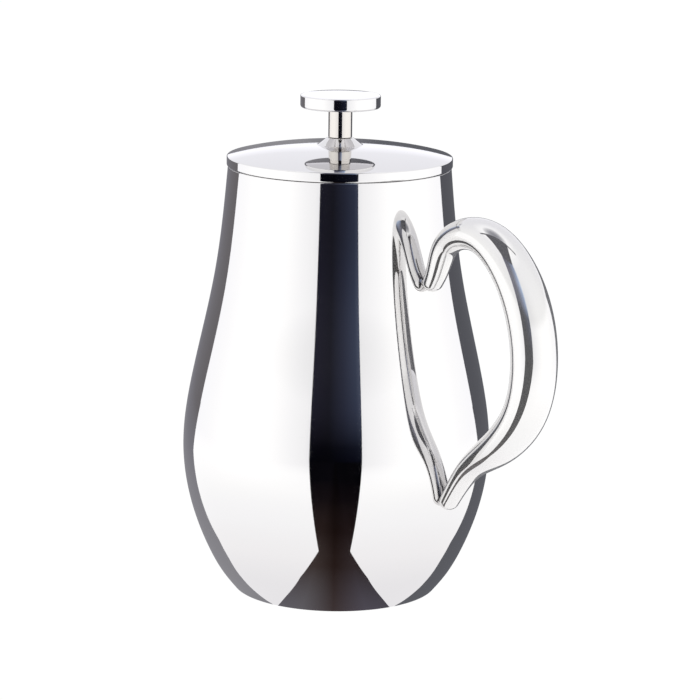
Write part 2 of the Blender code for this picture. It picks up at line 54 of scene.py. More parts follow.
CAMERA_PITCH = math.radians(12.17)
CAMERA_ROLL = math.radians(0.79)
SENSOR_WIDTH_MM = 36.0
LENS_MM = 154.3
VIEW_END = 30.0

camera = bpy.data.objects.new("camera", bpy.data.cameras.new("camera"))
bpy.context.scene.collection.objects.link(camera)
camera.data.sensor_width = SENSOR_WIDTH_MM
camera.data.lens = LENS_MM
camera.data.clip_end = VIEW_END
camera.matrix_world = (
    Matrix.Rotation(CAMERA_TURN, 4, "Z")
    @ Matrix.Translation((CAMERA_SIDE, -CAMERA_DISTANCE, CAMERA_HEIGHT))
    @ Matrix.Rotation(math.pi / 2 - CAMERA_PITCH, 4, "X")
    @ Matrix.Rotation(CAMERA_ROLL, 4, "Z"))
bpy.context.scene.camera = camera
bpy.context.scene.view_settings.view_transform = "Standard"

# ---- Studio ---------------------------------------------------------------------------
# A white tent of even soft light, open at the front in a tall gap, over a pale floor.
# Cards behind the pot and in front of it give the polished steel its dark edges.
TENT_RADIUS = 0.90
TENT_STRENGTH = 1.47
FLOOR_SIZE = 8.0
FLOOR_STRENGTH = 1.02
CARD_LIFT = 0.0004
CARD_STEPS = 64
DISC_SIDES = 96


def linear(code):
    """Linear colour from an sRGB hex code."""
    parts = [int(code[i:i + 2], 16) / 255 for i in (0, 2, 4)]
    return tuple(c / 12.92 if c <= 0.04045 else ((c + 0.055) / 1.055) ** 2.4
                 for c in parts) + (1.0,)


def add_node(tree, kind, inputs=None, **settings):
    """Adds a node, sets its properties, and sets or links its inputs."""
    made = tree.nodes.new(kind)
    for name, value in settings.items():
        setattr(made, name, value)
    for name, value in (inputs or {}).items():
        if isinstance(value, bpy.types.NodeSocket):
            tree.links.new(value, made.inputs[name])
        else:
            made.inputs[name].default_value = value
    return made


def fill_ramp(ramp, stops):
    """Sets a colour ramp's stops from (place, hex code)."""
    while len(ramp.elements) < len(stops):
        ramp.elements.new(0.5)
    for element, (place, code) in zip(ramp.elements, stops):
        element.position = place
        element.color = linear(code)


def glow_material(name, strength, across, half_width, along, reach, direction=None, fade=None):
    """Glow with one set of tones from left to right and one along the card.

    Along runs from 0 to reach, as the distance from the pot's axis, or in a direction. The
    glow may fade between two distances, to let the tent show.
    """
    material = bpy.data.materials.new(name)
    material.use_nodes = True
    tree = material.node_tree
    tree.nodes.clear()
    place = add_node(tree, "ShaderNodeTexCoord").outputs["Object"]
    rightwards = (math.cos(CAMERA_TURN), math.sin(CAMERA_TURN), 0.0)
    sideways = add_node(tree, "ShaderNodeVectorMath", {0: place, 1: rightwards},
                        operation="DOT_PRODUCT").outputs["Value"]
    share = add_node(tree, "ShaderNodeMapRange", {
        "Value": sideways, "From Min": -half_width, "From Max": half_width})
    first = add_node(tree, "ShaderNodeValToRGB", {"Fac": share.outputs["Result"]})
    fill_ramp(first.color_ramp, across)
    if direction:
        distance = add_node(tree, "ShaderNodeVectorMath", {0: place, 1: direction},
                            operation="DOT_PRODUCT").outputs["Value"]
    else:
        distance = add_node(tree, "ShaderNodeVectorMath", {0: place},
                            operation="LENGTH").outputs["Value"]
    run = add_node(tree, "ShaderNodeMapRange", {
        "Value": distance, "From Min": 0.0, "From Max": reach})
    second = add_node(tree, "ShaderNodeValToRGB", {"Fac": run.outputs["Result"]})
    fill_ramp(second.color_ramp, along)
    both = add_node(tree, "ShaderNodeMix", {"Factor": 1.0, "A": first.outputs["Color"],
                                           "B": second.outputs["Color"]},
                    data_type="RGBA", blend_type="MULTIPLY")
    glow = add_node(tree, "ShaderNodeEmission", {
        "Color": both.outputs["Result"], "Strength": strength})
    surface = glow.outputs["Emission"]
    if fade:
        clear = add_node(tree, "ShaderNodeBsdfTransparent")
        gone = add_node(tree, "ShaderNodeMapRange", {
            "Value": distance, "From Min": fade[0], "From Max": fade[1]})
        surface = add_node(tree, "ShaderNodeMixShader", {
            0: gone.outputs["Result"], 1: surface, 2: clear.outputs["BSDF"]}).outputs["Shader"]
    add_node(tree, "ShaderNodeOutputMaterial", {"Surface": surface})
    return material


def stage_piece(name, bm, material, seen=False):
    """Part of the studio: in front of the camera if seen, and else only in reflections."""
    mesh = bpy.data.meshes.new(name)
    bmesh.ops.rotate(bm, verts=bm.verts, matrix=Matrix.Rotation(CAMERA_TURN, 3, "Z"))
    bm.to_mesh(mesh)
    bm.free()
    mesh.materials.append(material)
    obj = bpy.data.objects.new(name, mesh)
    bpy.context.scene.collection.objects.link(obj)
    obj.visible_camera = seen
    obj.visible_glossy = not seen
    obj.visible_diffuse = not seen
    obj.visible_shadow = False


def floor_disc(radius, height):
    """Flat disc that lies at a height."""
    bm = bmesh.new()
    bmesh.ops.create_circle(bm, cap_ends=True, segments=DISC_SIDES, radius=radius)
    bmesh.ops.translate(bm, verts=bm.verts, vec=(0, 0, height))
    return bm


def card_on_floor(corners, height):
    """Flat card from its right half's corners, mirrored to the left."""
    bm = bmesh.new()
    outline = corners + [(-x, y) for x, y in reversed(corners)]
    bm.faces.new([bm.verts.new((x, y, height)) for x, y in outline])
    return bm


def card_wall(start, end, top, spread=1.0):
    """Upright curved card between two angles, counted from the front to the right.

    Its top is spread about the back, so that its ends lean.
    """
    bm = bmesh.new()
    foot = (TENT_RADIUS * math.sin(start), -TENT_RADIUS * math.cos(start))
    edge = bm.edges.new([bm.verts.new((*foot, 0.0)), bm.verts.new((*foot, top))])
    bmesh.ops.spin(bm, geom=[edge, *edge.verts], cent=(0, 0, 0), axis=(0, 0, 1),
                   angle=end - start, steps=CARD_STEPS)
    for vert in bm.verts:
        if vert.co.z > 0:
            angle = math.atan2(vert.co.x, vert.co.y) * spread
            vert.co.x = TENT_RADIUS * math.sin(angle)
            vert.co.y = TENT_RADIUS * math.cos(angle)
    return bm


# The soft white of the tent: its tone changes from the front round to the back, and with
# height, and it greys at the top of the roof.
world = bpy.data.worlds.new("soft_white_tent")
bpy.context.scene.world = world
world.use_nodes = True
sky = world.node_tree
toward = (math.sin(CAMERA_TURN), -math.cos(CAMERA_TURN), 0.0)
looking = add_node(sky, "ShaderNodeTexCoord").outputs["Generated"]
frontness = add_node(sky, "ShaderNodeVectorMath", {0: looking, 1: toward}, operation="DOT_PRODUCT")
angle_off = add_node(sky, "ShaderNodeMath", {0: frontness.outputs["Value"]},
                     operation="ARCCOSINE")
angle_share = add_node(sky, "ShaderNodeMath", {0: angle_off.outputs["Value"], 1: math.pi},
                       operation="DIVIDE")
round_tone = add_node(sky, "ShaderNodeValToRGB", {"Fac": angle_share.outputs["Value"]})
fill_ramp(round_tone.color_ramp, (
    (0.10, "e4e4e6"), (0.13, "ececed"), (0.19, "f2f2f3"), (0.26, "fafafa"), (0.34, "ffffff"),
    (0.50, "fefefe"), (0.60, "f8f8f9"), (0.72, "f3f3f6"), (0.95, "f1f1f7")))
upness = add_node(sky, "ShaderNodeSeparateXYZ", {0: looking}).outputs["Z"]
height_tone = add_node(sky, "ShaderNodeValToRGB", {"Fac": upness})
fill_ramp(height_tone.color_ramp, (
    (0.17, "f0f0f0"), (0.27, "dfdfdf"), (0.80, "dcdcde"), (0.93, "ececed"), (0.985, "8c8c92"),
    (1.0, "74747c")))
tone = add_node(sky, "ShaderNodeVectorMath", {
    0: round_tone.outputs["Color"], 1: height_tone.outputs["Color"]}, operation="MULTIPLY")
background = sky.nodes["Background"]
background.inputs["Strength"].default_value = TENT_STRENGTH
sky.links.new(tone.outputs["Vector"], background.inputs["Color"])

plain = ((0.0, "ffffff"), (1.0, "ffffff"))
stage_piece("floor", floor_disc(FLOOR_SIZE, -CARD_LIFT),
            glow_material("floor_white", FLOOR_STRENGTH, plain, 1.0, plain, 1.0), seen=True)

# The same floor as the polished steel sees it: greyer close to the pot, which shades it,
# and giving way to the tent's soft white further out.
REFLECTED_STRENGTH = 1.27
FLOOR_TONE_REACH = 0.4
FLOOR_FADE = (0.2, 0.7)
floor_tones = ((0.0, "dcdbde"), (0.16, "e3e2e4"), (0.22, "ebeaeb"), (0.32, "f0f0f1"),
               (0.60, "f8f8f8"), (1.0, "ffffff"))
stage_piece("floor_reflected", floor_disc(FLOOR_SIZE, -CARD_LIFT),
            glow_material("floor_soft_white", REFLECTED_STRENGTH, plain, 1.0, floor_tones,
                          FLOOR_TONE_REACH, fade=FLOOR_FADE))

# The front gap stands open from the floor to the roof, and a dark runner lies on the floor
# from it to the pot. The runner is grey beside a brown middle, and nearly black further out.
GAP_ANGLE = math.radians(18.5)
GAP_TOP = 1.30
GAP_STRENGTH = 1.15
RUNNER_CORNERS = ((0.027, -0.040), (0.0236, -0.067), (0.0150, -0.0935))
RUNNER_PAST_GAP = 1.3
RUNNER_HALF_WIDTH = 0.026
RUNNER_TONE_REACH = 0.4
wall_x = TENT_RADIUS * math.sin(GAP_ANGLE)
wall_y = -TENT_RADIUS * math.cos(GAP_ANGLE)
runner = card_on_floor([*RUNNER_CORNERS, (wall_x, wall_y),
                        (RUNNER_PAST_GAP * wall_x, RUNNER_PAST_GAP * wall_y)], 0.0)
near_tones = ((0.0, "f0f0f4"), (0.20, "f0f0f0"), (0.50, "a08c86"), (0.80, "c8c4d0"),
              (1.0, "c0bec8"))
far_tones = ((0.0, "76747a"), (0.115, "706e74"), (0.20, "463c3a"), (0.30, "2c211f"),
             (0.50, "150f12"), (0.90, "07060b"), (1.0, "08070c"))
stage_piece("front_floor_card", runner,
            glow_material("front_floor", 1.0, near_tones, RUNNER_HALF_WIDTH, far_tones,
                          RUNNER_TONE_REACH))
gap_tones = ((0.0, "706e80"), (0.35, "64646f"), (0.65, "8890a8"), (0.90, "a8b8d4"),
             (1.0, "d8e8ff"))
rise_tones = ((0.0, "10101a"), (0.07, "202028"), (0.19, "50505a"), (0.28, "606068"),
              (0.38, "d0d2d8"), (0.60, "ffffff"), (1.0, "b0b4c0"))
stage_piece("front_gap", card_wall(-GAP_ANGLE, GAP_ANGLE, GAP_TOP),
            glow_material("front_gap", GAP_STRENGTH, gap_tones, wall_x, rise_tones, GAP_TOP,
                          (0.0, 0.0, 1.0)))

# The gap runs on into the tent's roof and ends at the dark seam that crosses it.
ROOF_BAR_HALF = 0.75
ROOF_BAR_END = 0.12
ROOF_BAR_WIDTH = 0.07
ROOF_CORNER = 0.44
ROOF_PAST_GAP = 1.05
bar_near = -ROOF_BAR_END - ROOF_BAR_WIDTH
roof = card_on_floor([(ROOF_BAR_HALF, -ROOF_BAR_END), (ROOF_BAR_HALF, bar_near),
                      (ROOF_CORNER, bar_near), (wall_x, wall_y),
                      (wall_x, -ROOF_PAST_GAP * TENT_RADIUS)], GAP_TOP)
seam_grey = ((0.0, "3c3c44"), (1.0, "3c3c44"))
stage_piece("roof_gap", roof, glow_material("roof_gap", 1.0, seam_grey, 1.0, plain, 1.0))

# The grey behind the pot: a low wall, and a card on the floor in front of it, whose near
# edge is cut so that it shows as an even dark band down both of the pot's sides.
BACK_ANGLE = math.radians(125)
BACK_TOP = 0.315
BACK_SPREAD = 1.13
BACK_CORNERS = ((0.030, -0.0395), (0.0536, -0.0287), (0.0725, -0.0187), (0.0935, -0.0050),
                (0.297, 0.195))
BACK_PAST_WALL = 1.4
BACK_END = (0.3, 1.6 * TENT_RADIUS)
back_x = TENT_RADIUS * math.sin(BACK_ANGLE)
back_y = -TENT_RADIUS * math.cos(BACK_ANGLE)
back_card = card_on_floor([*BACK_CORNERS, (back_x, back_y),
                           (BACK_PAST_WALL * back_x, BACK_PAST_WALL * back_y), BACK_END],
                          CARD_LIFT / 2)
back_tones = ((0.0, "6f6c6f"), (0.30, "7e7d84"), (0.47, "929196"), (0.525, "626369"),
              (1.0, "595a60"))
back_grey = glow_material("back_grey", 1.0, back_tones, back_x, plain, 1.0)
stage_piece("back_floor_card", back_card, back_grey)
stage_piece("back_wall", card_wall(BACK_ANGLE, 2 * math.pi - BACK_ANGLE, BACK_TOP, BACK_SPREAD),
            back_grey)

# ---- Outer shell ----------------------------------------------------------------------
# Deep-drawn and spun 18/10 stainless sheet, buffed to a mirror. Its foot is turned in
# under the pot, and its rim is pinched out into the pour lip on the side of -X.
POLISH_HAZE_MM = 14.0
BUFF_LINE_MM = 0.6
BUFF_LINE_STRETCH = 0.04
WAVE_MM = 38.0
HAZE_LOW = 0.12
HAZE_HIGH = 0.40


def mm(size):
    """Noise scale for a pattern of a size in millimetres, on coordinates in metres."""
    return 1000.0 / size


def steel(name, code, roughness, spread, line_mm, wave=0.0, line_depth=0.0, metallic=1.0):
    """Stainless steel: a haze and fine lines in the roughness, and slight waves.

    The lines are noise drawn out sideways, so that they run round the pot.
    """
    material = bpy.data.materials.new(name)
    material.use_nodes = True
    tree = material.node_tree
    shader = tree.nodes["Principled BSDF"]
    shader.inputs["Base Color"].default_value = linear(code)
    shader.inputs["Metallic"].default_value = metallic
    place = add_node(tree, "ShaderNodeTexCoord")
    haze = add_node(tree, "ShaderNodeTexNoise", {
        "Vector": place.outputs["Object"], "Scale": mm(POLISH_HAZE_MM), "Detail": 4.0})
    flat = add_node(tree, "ShaderNodeMapping", {
        "Vector": place.outputs["Object"],
        "Scale": (BUFF_LINE_STRETCH, BUFF_LINE_STRETCH, 1.0)})
    lines = add_node(tree, "ShaderNodeTexNoise", {
        "Vector": flat.outputs["Vector"], "Scale": mm(line_mm), "Detail": 3.0})
    both = add_node(tree, "ShaderNodeMath", {0: haze.outputs["Fac"], 1: lines.outputs["Fac"]},
                    operation="MULTIPLY")
    rough = add_node(tree, "ShaderNodeMapRange", {
        "Value": both.outputs["Value"], "From Min": HAZE_LOW, "From Max": HAZE_HIGH,
        "To Min": roughness, "To Max": roughness + spread})
    tree.links.new(rough.outputs["Result"], shader.inputs["Roughness"])
    if wave or line_depth:
        waves = add_node(tree, "ShaderNodeTexNoise", {
            "Vector": place.outputs["Object"], "Scale": mm(WAVE_MM), "Detail": 0.0})
        large = add_node(tree, "ShaderNodeBump", {
            "Height": waves.outputs["Fac"], "Distance": wave, "Strength": 1.0})
        fine = add_node(tree, "ShaderNodeBump", {
            "Height": lines.outputs["Fac"], "Distance": line_depth, "Strength": 1.0,
            "Normal": large.outputs["Normal"]})
        tree.links.new(fine.outputs["Normal"], shader.inputs["Normal"])
    return material


def run_lengths(points):
    """Length of the line through the points, up to each of them."""
    steps = np.linalg.norm(np.diff(points[:, :2], axis=0), axis=1)
    return np.concatenate([[0.0], np.cumsum(steps)])


def natural_spline(points, count):
    """Evenly bent curve through the points, straight at both ends, as count points."""
    points = np.asarray(points, float)
    along = run_lengths(points)
    step = np.diff(along)[:, None]
    n = len(points)
    bend = np.eye(n)
    load = np.zeros_like(points)
    for i in range(1, n - 1):
        bend[i, i - 1:i + 2] = (step[i - 1, 0], 2 * (step[i - 1, 0] + step[i, 0]), step[i, 0])
        load[i] = 6 * ((points[i + 1] - points[i]) / step[i]
                       - (points[i] - points[i - 1]) / step[i - 1])
    curve = np.linalg.solve(bend, load)
    where = np.linspace(0.0, along[-1], count)
    i = np.clip(np.searchsorted(along, where) - 1, 0, n - 2)
    a = ((along[i + 1] - where) / step[i, 0])[:, None]
    b = 1 - a
    return (a * points[i] + b * points[i + 1]
            + ((a ** 3 - a) * curve[i] + (b ** 3 - b) * curve[i + 1]) * step[i] ** 2 / 6)


FILLET_SHARE = 0.42
FILLET_GUARD = 1.15


def rounded(points, steps=6):
    """Outline with fillets: a point's third value is its corner's radius.

    A fillet takes at most a share of either side, and a guard point just past each of its
    ends keeps the shading of the straight sides flat.
    """
    line = []
    for i, point in enumerate(points):
        here = Vector(point[:2])
        if len(point) == 2:
            line.append(here)
            continue
        before = Vector(points[i - 1][:2]) - here
        after = Vector(points[(i + 1) % len(points)][:2]) - here
        half = before.angle(after) / 2
        reach = min(point[2] / math.tan(half), FILLET_SHARE * before.length,
                    FILLET_SHARE * after.length)
        before.normalize()
        after.normalize()
        radius = reach * math.tan(half)
        centre = here + (before + after).normalized() * radius / math.sin(half)
        first = here + before * reach - centre
        turn = (here + after * reach - centre).angle_signed(first)
        line.append(here + before * reach * FILLET_GUARD)
        for k in range(steps + 1):
            line.append(centre + Matrix.Rotation(turn * k / steps, 2) @ first)
        line.append(here + after * reach * FILLET_GUARD)
    return line


ON_AXIS = 1e-7
MERGE_REACH = 1e-6


def wall_outline(line, wall):
    """Closed outline of sheet metal: the line, and its copy one wall away on its left."""
    line = [Vector(p) for p in line]
    runs = [(b - a).normalized() for a, b in zip(line[:-1], line[1:])]
    sides = [Vector((-run.y, run.x)) for run in runs]
    inner = []
    for i, point in enumerate(line):
        a = sides[max(i - 1, 0)]
        b = sides[min(i, len(sides) - 1)]
        moved = point + (a + b) * (wall / (1 + a.dot(b)))
        inner.append(Vector((0.0, moved.y)) if point.x < ON_AXIS else moved)
    return line + inner[::-1]


def spun(outline, steps=160, angle=2 * math.pi):
    """Turns a closed outline of (radius, height) about the pot's axis."""
    bm = bmesh.new()
    verts = [bm.verts.new((p[0], 0.0, p[1])) for p in outline]
    for a, b in zip(verts, verts[1:] + verts[:1]):
        if a.co.x > ON_AXIS or b.co.x > ON_AXIS:
            bm.edges.new((a, b))
    full = angle == 2 * math.pi
    bmesh.ops.spin(bm, geom=bm.verts[:] + bm.edges[:], cent=(0, 0, 0), axis=(0, 0, 1),
                   angle=angle, steps=steps, use_merge=full)
    bmesh.ops.remove_doubles(bm, verts=bm.verts, dist=MERGE_REACH)
    if not full:
        bmesh.ops.holes_fill(bm, edges=[e for e in bm.edges if e.is_boundary])
    bmesh.ops.recalc_face_normals(bm, faces=bm.faces)
    return bm


SHARP_ANGLE = math.radians(40)


def smooth_with_edges(mesh):
    """Smooth shading that stops at the edges sharper than a fillet's steps."""
    mesh.shade_smooth()
    mesh.set_sharp_from_angle(angle=SHARP_ANGLE)


def piece(name, bm, material, body, slot, *nodes):
    """Finished piece that rides on a body and stands for its solids."""
    mesh = bpy.data.meshes.new(name)
    bm.to_mesh(mesh)
    bm.free()
    smooth_with_edges(mesh)
    mesh.materials.append(material)
    obj = bpy.data.objects.new(name, mesh)
    bpy.context.scene.collection.objects.link(obj)
    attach(obj, body)
    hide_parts(*nodes)
    return obj


shell_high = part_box("outer_shell")[1]
liner_low, liner_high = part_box("inner_liner")
BODY_HEIGHT = liner_high.z
# Room for the facets, so that this finer wall stays inside the CAD shell's box.
FACET_ROOM = 0.0001
BELLY_RADIUS = shell_high.y - FACET_ROOM / 10
RIM_RADIUS = liner_high.y
BASE_RADIUS = 0.0490
FOOT_WIDTH = 0.0040
FOOT_FILLET = 0.0018
FILLET_ROOM = (0.002, 0.001)
SHELL_WALL = 0.0008
SHELL_POINTS = 150
SHELL_STEPS = 192
BELLY_SHARE = 0.3385
# Places up the side: the share of the height, and the share of the way out from the radius
# of the foot, or of the rim above the belly, to the belly's.
SHELL_SHAPE = ((0.039, 0.251), (0.106, 0.551), (0.203, 0.840), (BELLY_SHARE, 1.0),
               (0.508, 0.797), (0.750, 0.288))
RIM_FILLET = 0.0004
LIP_REACH = 0.0070
LIP_DIP = 0.0012
LIP_DEPTH = 0.0240
LIP_HALF_ANGLE = math.radians(26)

# Mirror-buffed 18/10 stainless: clean, slightly warm reflections with a trace of haze.
mirror_steel = steel("mirror_polished_stainless", "e9e8e8", roughness=0.022,
                     spread=0.03, line_mm=BUFF_LINE_MM, wave=0.00002)

shell_curve = [(BASE_RADIUS, 0.0)]
for share, way in SHELL_SHAPE:
    end = BASE_RADIUS if share <= BELLY_SHARE else RIM_RADIUS
    shell_curve.append((end + way * (BELLY_RADIUS - end), share * BODY_HEIGHT))
shell_curve.append((RIM_RADIUS, BODY_HEIGHT))
shell_line = [Vector(p) for p in natural_spline(shell_curve, SHELL_POINTS)]


def shell_radius(height):
    """Outer radius of the shell at a height."""
    return float(np.interp(height, [p.y for p in shell_line], [p.x for p in shell_line]))


def draw_lip(bm):
    """Pinches the rim of a turned wall out and a little down on the side of -X."""
    for vert in bm.verts:
        x, y, z = vert.co
        radius = math.hypot(x, y)
        angle = abs(math.atan2(y, -x))
        depth = (z - (BODY_HEIGHT - LIP_DEPTH)) / LIP_DEPTH
        if radius > 0 and angle < LIP_HALF_ANGLE and depth > 0:
            spread = 0.5 + 0.5 * math.cos(math.pi * angle / LIP_HALF_ANGLE)
            scale = 1 + LIP_REACH * spread * depth ** 2 / radius
            vert.co = (x * scale, y * scale, z - LIP_DIP * spread * depth ** 2)
    return bm


shell_rise = [p for p in shell_line if FILLET_ROOM[0] < p.y < shell_high.z - FILLET_ROOM[1]]
# The buffed weld leaves no seam, so the shell's outside runs on over the flange's edge.
shell_outline = rounded([(BASE_RADIUS - FOOT_WIDTH, 0.0), (BASE_RADIUS, 0.0, FOOT_FILLET),
                         *shell_rise, (RIM_RADIUS, BODY_HEIGHT, RIM_FILLET),
                         (RIM_RADIUS - SHELL_WALL, BODY_HEIGHT)])
shell_wall = wall_outline(shell_outline[:-1], SHELL_WALL)
piece("outer_shell", draw_lip(spun(shell_wall, SHELL_STEPS)), mirror_steel,
      "pot", "polished_steel", "outer_shell")

# ---- Inner liner ----------------------------------------------------------------------
# The straight cup that holds the coffee, drawn from the same sheet and left with a fine
# spun satin inside. Its flange is welded over the shell's rim and buffed flush.
LINER_RADIUS = 0.0485
LINER_WALL = 0.0008
LINER_CORNER = 0.0080
RIM_SEAM = 0.00005
UPRIGHT_FIRST = 4
UPRIGHT_STEPS = 40

# Satin stainless: fine lines round the wall from the buffing wheel.
satin_steel = steel("satin_spun_stainless", "d6d4d0", roughness=0.20, spread=0.12, line_mm=0.35,
                    wave=0.00001, line_depth=0.000012)

liner_outer = LINER_RADIUS + LINER_WALL
floor_z = liner_low.z
rim_under = BODY_HEIGHT - LINER_WALL
upright = [(liner_outer, floor_z + (rim_under - floor_z) * k / UPRIGHT_STEPS)
           for k in range(UPRIGHT_FIRST, UPRIGHT_STEPS - 1)]
cup = rounded([(0.0, floor_z), (liner_outer, floor_z, LINER_CORNER), *upright,
               (liner_outer, rim_under, LINER_WALL),
               (RIM_RADIUS - SHELL_WALL - RIM_SEAM, rim_under)])
piece("inner_liner", draw_lip(spun(wall_outline(cup, LINER_WALL), SHELL_STEPS)), satin_steel,
      "pot", "polished_steel", "inner_liner")

# ---- Base plate and vent plug ---------------------------------------------------------
# A pressed dish welded flush inside the foot, with one raised ring, and the small plug
# that seals the hole through which the double wall was vented.
BASE_WALL = 0.0010
RING_INNER = 0.026
RING_WIDTH = 0.0030
RING_RISE = 0.0005
RING_FILLET = 0.0008
PLUG_FILLET = 0.0003
PLUG_SEAM = 0.0003
PLUG_HOLE_TOP = 0.0025
PLUG_STEPS = 48
HOLE_SIDES = 40
DRILL_PAST = 0.001

plate_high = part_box("base_plate")[1]
ring_outer = RING_INNER + RING_WIDTH
ring_middle = RING_INNER + RING_WIDTH / 2
dish = rounded([(0.0, 0.0), (RING_INNER, 0.0, RING_FILLET), (ring_middle, RING_RISE, RING_FILLET),
                (ring_outer, 0.0, RING_FILLET), (plate_high.x, 0.0, BASE_WALL),
                (plate_high.x, plate_high.z)])
base_plate = piece("base_plate", spun(wall_outline(dish, BASE_WALL)), satin_steel,
                   "pot", "polished_steel", "base_plate")


def carve(obj, bm):
    """Subtracts closed shapes from a piece and keeps only the result."""
    mesh = bpy.data.meshes.new("cutter")
    bm.to_mesh(mesh)
    bm.free()
    cutter = bpy.data.objects.new("cutter", mesh)
    bpy.context.scene.collection.objects.link(cutter)
    boolean = obj.modifiers.new("cut", "BOOLEAN")
    boolean.object = cutter
    boolean.solver = "EXACT"
    bpy.context.view_layer.update()
    cut = obj.evaluated_get(bpy.context.evaluated_depsgraph_get())
    result = bpy.data.meshes.new_from_object(cut)
    obj.modifiers.clear()
    obj.data = result
    smooth_with_edges(result)
    bpy.data.objects.remove(cutter)


def drill(obj, holes, low, high):
    """Cuts upright round holes, given as (x, y, radius), and keeps only the result."""
    bm = bmesh.new()
    for x, y, radius in holes:
        made = bmesh.ops.create_cone(bm, cap_ends=True, segments=HOLE_SIDES, radius1=radius,
                                     radius2=radius, depth=high - low)
        bmesh.ops.translate(bm, verts=made["verts"], vec=(x, y, (low + high) / 2))
    carve(obj, bm)


plug_low, plug_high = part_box("base_vent_plug")
plug_radius = (plug_high.y - plug_low.y) / 2
plug_centre = (plug_low + plug_high) / 2
drill(base_plate, [(plug_centre.x, 0.0, plug_radius + PLUG_SEAM)], -DRILL_PAST, PLUG_HOLE_TOP)
plug = spun(rounded([(0.0, 0.0), (plug_radius, 0.0, PLUG_FILLET),
                     (plug_radius, plug_high.z, PLUG_FILLET), (0.0, plug_high.z)]), PLUG_STEPS)
bmesh.ops.translate(plug, verts=plug.verts, vec=(plug_centre.x, 0, 0))
piece("base_vent_plug", plug, satin_steel, "pot", "polished_steel", "base_vent_plug")

# ---- Handle ---------------------------------------------------------------------------
# A tapered oval tube bent into an open loop. Both tips are rounded, closed and welded
# flat on the shell, and the whole is buffed like the shell.
# Each place is the way out from the shell, the share of the height, and half the thickness.
HANDLE_PATH = ((0.0071, 0.793, 0.0048), (0.0150, 0.861, 0.0060), (0.0365, 0.897, 0.0080),
               (0.0551, 0.838, 0.0093), (0.0635, 0.739, 0.0098), (0.0623, 0.627, 0.0098),
               (0.0522, 0.515, 0.0096), (0.0333, 0.426, 0.0085), (0.0150, 0.362, 0.0059),
               (0.0063, 0.306, 0.0047))
TIP_SHARES = (0.7519, 0.2563)
TIP_HALF = 0.0042
TIP_STANDOFF = 0.0012
TIP_ANGLES = (6, 14, 24, 34, 44, 54, 64, 74, 84)
HANDLE_OVAL = 1.22
HANDLE_POINTS = 400
HANDLE_STATIONS = 220
HANDLE_SIDES = 64
AIM_STEP = 0.0004


def match_ring(verts, places):
    """Puts new verts in the order of the places that they still lie on."""
    return [min(verts, key=lambda v: (v.co - place).length_squared) for place in places]


def swept(stations, sides):
    """Closed tube through stations of (centre, half thickness vector, half width vector)."""
    bm = bmesh.new()
    ring = bmesh.ops.create_circle(bm, segments=sides, radius=1.0)["verts"]
    unit = [v.co.copy() for v in ring]
    first = ring
    for i, (centre, thick, wide) in enumerate(stations):
        if i:
            edges = {e for v in ring for e in v.link_edges if all(w in ring for w in e.verts)}
            made = bmesh.ops.extrude_edge_only(bm, edges=list(edges))["geom"]
            fresh = [v for v in made if isinstance(v, bmesh.types.BMVert)]
            ring = match_ring(fresh, last_places)
        for vert, u in zip(ring, unit):
            vert.co = centre + thick * u.x + wide * u.y
        last_places = [v.co.copy() for v in ring]
    for end in (first, ring):
        bm.faces.new(end)
    bmesh.ops.recalc_face_normals(bm, faces=bm.faces)
    return bm


path = [(TIP_STANDOFF, TIP_SHARES[0], TIP_HALF), *HANDLE_PATH,
        (TIP_STANDOFF, TIP_SHARES[1], TIP_HALF)]
handle_line = natural_spline([
    (shell_radius(share * BODY_HEIGHT) + out - FACET_ROOM, share * BODY_HEIGHT, half)
    for out, share, half in path], HANDLE_POINTS)
lengths = run_lengths(handle_line)


def on_handle(length):
    """Radius, height and half thickness of the tube at a length from its upper tip."""
    return [float(np.interp(length, lengths, handle_line[:, k])) for k in range(3)]


near = [TIP_HALF * (1 - math.cos(math.radians(a))) for a in TIP_ANGLES]
middle = np.linspace(TIP_HALF, lengths[-1] - TIP_HALF, HANDLE_STATIONS)
stations = []
for s in [*near, *middle, *(lengths[-1] - d for d in reversed(near))]:
    x, z, half = on_handle(s)
    x2, z2, _ = on_handle(s + AIM_STEP)
    x1, z1, _ = on_handle(s - AIM_STEP)
    end = min(s, lengths[-1] - s, TIP_HALF)
    half *= math.sqrt(1 - (1 - end / TIP_HALF) ** 2)
    side = Vector((-(z2 - z1), 0.0, x2 - x1)).normalized()
    stations.append((Vector((x, 0.0, z)), side * half, Vector((0.0, half * HANDLE_OVAL, 0.0))))
# Hand-polished tube: as bright as the pot, with a thin veil of haze from the soft wheel.
hand_polished = steel("hand_polished_stainless", "e8e7e6", roughness=0.022, spread=0.03,
                      line_mm=BUFF_LINE_MM, wave=0.00002, metallic=0.88)
piece("handle", swept(stations, HANDLE_SIDES), hand_polished, "pot", "polished_steel", "handle")

# ---- Lid cover ------------------------------------------------------------------------
# Domed sheet with an upright rim, an edge folded in under it, and a neck drawn up in the
# middle with a flared foot. Buffed to the same mirror as the pot.
cover_low, cover_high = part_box("lid_cover")
LID_WALL = 0.0006
LID_HEM = 0.0035
LID_RIM_HEIGHT = 0.0048
LID_RISE = 0.0056
LID_EDGE_BEND = 0.3
HEM_FILLET = 0.0006
RIM_ROUNDING = 0.0010
DOME_START = 0.0012
DOME_POINTS = 20
NECK_RADIUS = 0.0063
NECK_FOOT = 0.0107
NECK_FILLET = 0.0016
lid_radius = cover_high.x
edge_top = BODY_HEIGHT + LID_RIM_HEIGHT


def dome_height(radius):
    """Height of the domed top at a radius, bending down more towards the rim."""
    share = (radius / lid_radius) ** 2
    return edge_top + LID_RISE * (1 - (1 - LID_EDGE_BEND) * share - LID_EDGE_BEND * share ** 2)


